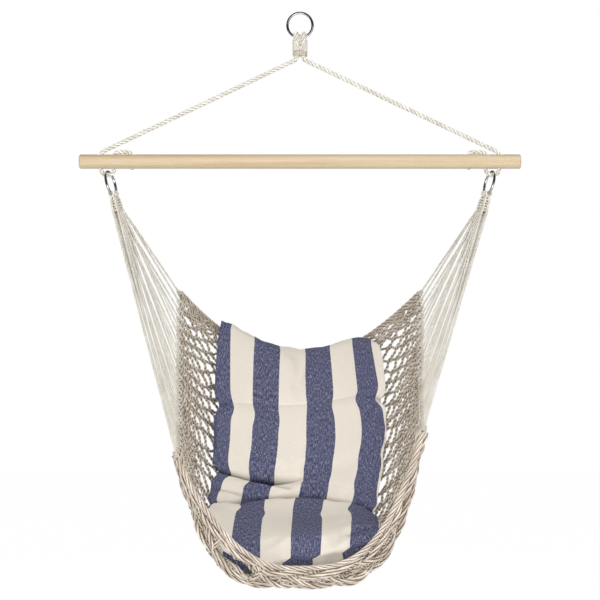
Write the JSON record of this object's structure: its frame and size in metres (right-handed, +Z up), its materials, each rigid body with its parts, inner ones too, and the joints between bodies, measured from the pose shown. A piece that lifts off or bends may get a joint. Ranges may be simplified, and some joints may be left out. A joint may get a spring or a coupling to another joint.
{
  "type": "hanging rope hammock chair",
  "caption": "Hammock chair on a hanging ring: rope bridle, wooden spreader bar, side rings, cord fans, knotted seat net and a loose striped cushion. It swings and the cushion lifts out.",
  "frame": {"origin": "centre of the top ring, where the hook passes", "axes": "+X along the spreader bar to the right of a person who faces the chair, +Y away from that person, so the sitter faces -Y, +Z up"},
  "size_m": [0.8, 0.6675, 0.9822],
  "materials": {
    "ring_steel": "plated steel wire, bright",
    "bar_wood": "sanded pale hardwood dowel, clear matt varnish",
    "hanger_cotton": "three-strand twisted cotton rope, undyed",
    "twine_cotton": "cotton binding twine, undyed",
    "clew_cotton": "cotton cord, undyed",
    "net_cotton": "knotted cotton cord, undyed",
    "border_cotton": "twisted cotton rope, undyed",
    "wadding": "soft fibre filling",
    "striped_cover": "woven cotton with broad stripes, matt"
  },
  "bodies": {
    "top_ring": {"top_ring": "ring_steel"},
    "hanger": {"left_hanger_rope": "hanger_cotton", "right_hanger_rope": "hanger_cotton", "top_seizing": "twine_cotton", "spreader_bar": "bar_wood"},
    "seat": {"left_ring": "ring_steel", "right_ring": "ring_steel", "left_clew": "clew_cotton", "right_clew": "clew_cotton", "left_cord_01": "clew_cotton", "left_cord_02": "clew_cotton", "left_cord_03": "clew_cotton", "left_cord_04": "clew_cotton", "left_cord_05": "clew_cotton", "left_cord_06": "clew_cotton", "left_cord_07": "clew_cotton", "left_cord_08": "clew_cotton", "left_cord_09": "clew_cotton", "left_cord_10": "clew_cotton", "left_cord_11": "clew_cotton", "left_cord_12": "clew_cotton", "right_cord_01": "clew_cotton", "right_cord_02": "clew_cotton", "right_cord_03": "clew_cotton", "right_cord_04": "clew_cotton", "right_cord_05": "clew_cotton", "right_cord_06": "clew_cotton", "right_cord_07": "clew_cotton", "right_cord_08": "clew_cotton", "right_cord_09": "clew_cotton", "right_cord_10": "clew_cotton", "right_cord_11": "clew_cotton", "right_cord_12": "clew_cotton", "net": "net_cotton", "back_border_rope": "border_cotton", "front_border_rope": "border_cotton"},
    "cushion": {"cushion_filling": "wadding", "cushion_front_panel": "striped_cover", "cushion_back_panel": "striped_cover"}
  },
  "joints": [
    {"name": "hanger_swing", "type": "hinge", "parent": "top_ring", "child": "hanger", "pos_m": [0, 0, -0.02194], "axis": [1, 0, 0], "range_deg": [-35, 35]},
    {"name": "seat_swing", "type": "hinge", "parent": "hanger", "child": "seat", "pos_m": [0, 0, -0.272], "axis": [1, 0, 0], "range_deg": [-40, 40]},
    {"name": "cushion_lift", "type": "slide", "parent": "seat", "child": "cushion", "axis": [0, 0, 1], "range_m": [0, 0.1]}
  ]
}
